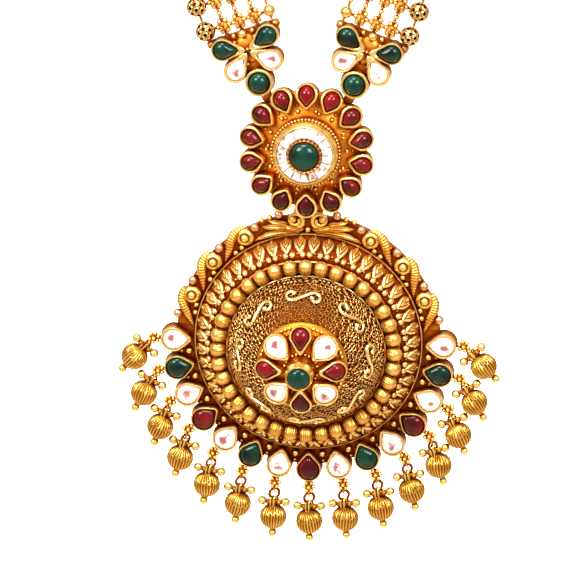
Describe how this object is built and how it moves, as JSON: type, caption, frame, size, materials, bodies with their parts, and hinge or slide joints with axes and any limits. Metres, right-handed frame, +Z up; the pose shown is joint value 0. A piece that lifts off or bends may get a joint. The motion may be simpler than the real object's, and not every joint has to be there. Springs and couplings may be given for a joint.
{
  "type": "long necklace",
  "caption": "Long antique-gold necklace of beaded bands with a ruby rosette and a large domed pendant fringed with bead drops.",
  "frame": {"origin": "middle of the clasp's neck-side face at the nape, where the necklace hangs", "axes": "+Z up, the front of the necklace faces -Y, +X towards the wearer's left"},
  "size_m": [0.1542, 0.1576, 0.2732],
  "materials": {
    "antique_gold": "satin",
    "thread": "matte",
    "red_stone": "gloss",
    "green_stone": "gloss",
    "clear_stone": "gloss"
  },
  "bodies": {
    "chain": {"clasp": "antique_gold", "outer_thread": "thread", "outer_beads": "antique_gold", "star_strand_1": "antique_gold", "star_strand_2": "antique_gold", "star_strand_3": "antique_gold", "inner_strand": "antique_gold", "connector_left": "antique_gold", "connector_right": "antique_gold", "left_green_1": "green_stone", "left_green_2": "green_stone", "left_clear_1": "clear_stone", "left_clear_2": "clear_stone", "left_round_green": "green_stone", "right_green_1": "green_stone", "right_green_2": "green_stone", "right_clear_1": "clear_stone", "right_clear_2": "clear_stone", "right_round_green": "green_stone", "rosette": "antique_gold", "rosette_center_stone": "green_stone", "rosette_ruby_ring": "red_stone", "rosette_crystal_ring": "clear_stone"},
    "pendant": {"pendant_plate": "antique_gold", "scroll_border": "antique_gold", "leaf_ring": "antique_gold", "bead_ring": "antique_gold", "filigree_dome": "antique_gold", "flower_setting": "antique_gold", "flower_center_stone": "green_stone", "flower_ruby_1": "red_stone", "flower_ruby_2": "red_stone", "flower_ruby_3": "red_stone", "flower_ruby_4": "red_stone", "flower_clear_1": "clear_stone", "flower_clear_2": "clear_stone", "flower_clear_3": "clear_stone", "flower_clear_4": "clear_stone", "fan_stone_1": "clear_stone", "fan_stone_2": "green_stone", "fan_stone_3": "clear_stone", "fan_stone_4": "red_stone", "fan_stone_5": "clear_stone", "fan_stone_6": "green_stone", "fan_stone_7": "clear_stone", "fan_stone_8": "red_stone", "fan_stone_9": "clear_stone", "fan_stone_10": "green_stone", "fan_stone_11": "clear_stone", "fan_stone_12": "red_stone", "fan_stone_13": "clear_stone", "fan_stone_14": "green_stone", "fan_stone_15": "clear_stone", "drop_rings": "antique_gold", "drops": "antique_gold"}
  },
  "joints": [
    {"name": "pendant_swing", "type": "hinge", "parent": "chain", "child": "pendant", "pos_m": [0, -0.1318, -0.1913], "axis": [-1, 0, 0], "range_deg": [-40, 30]}
  ]
}
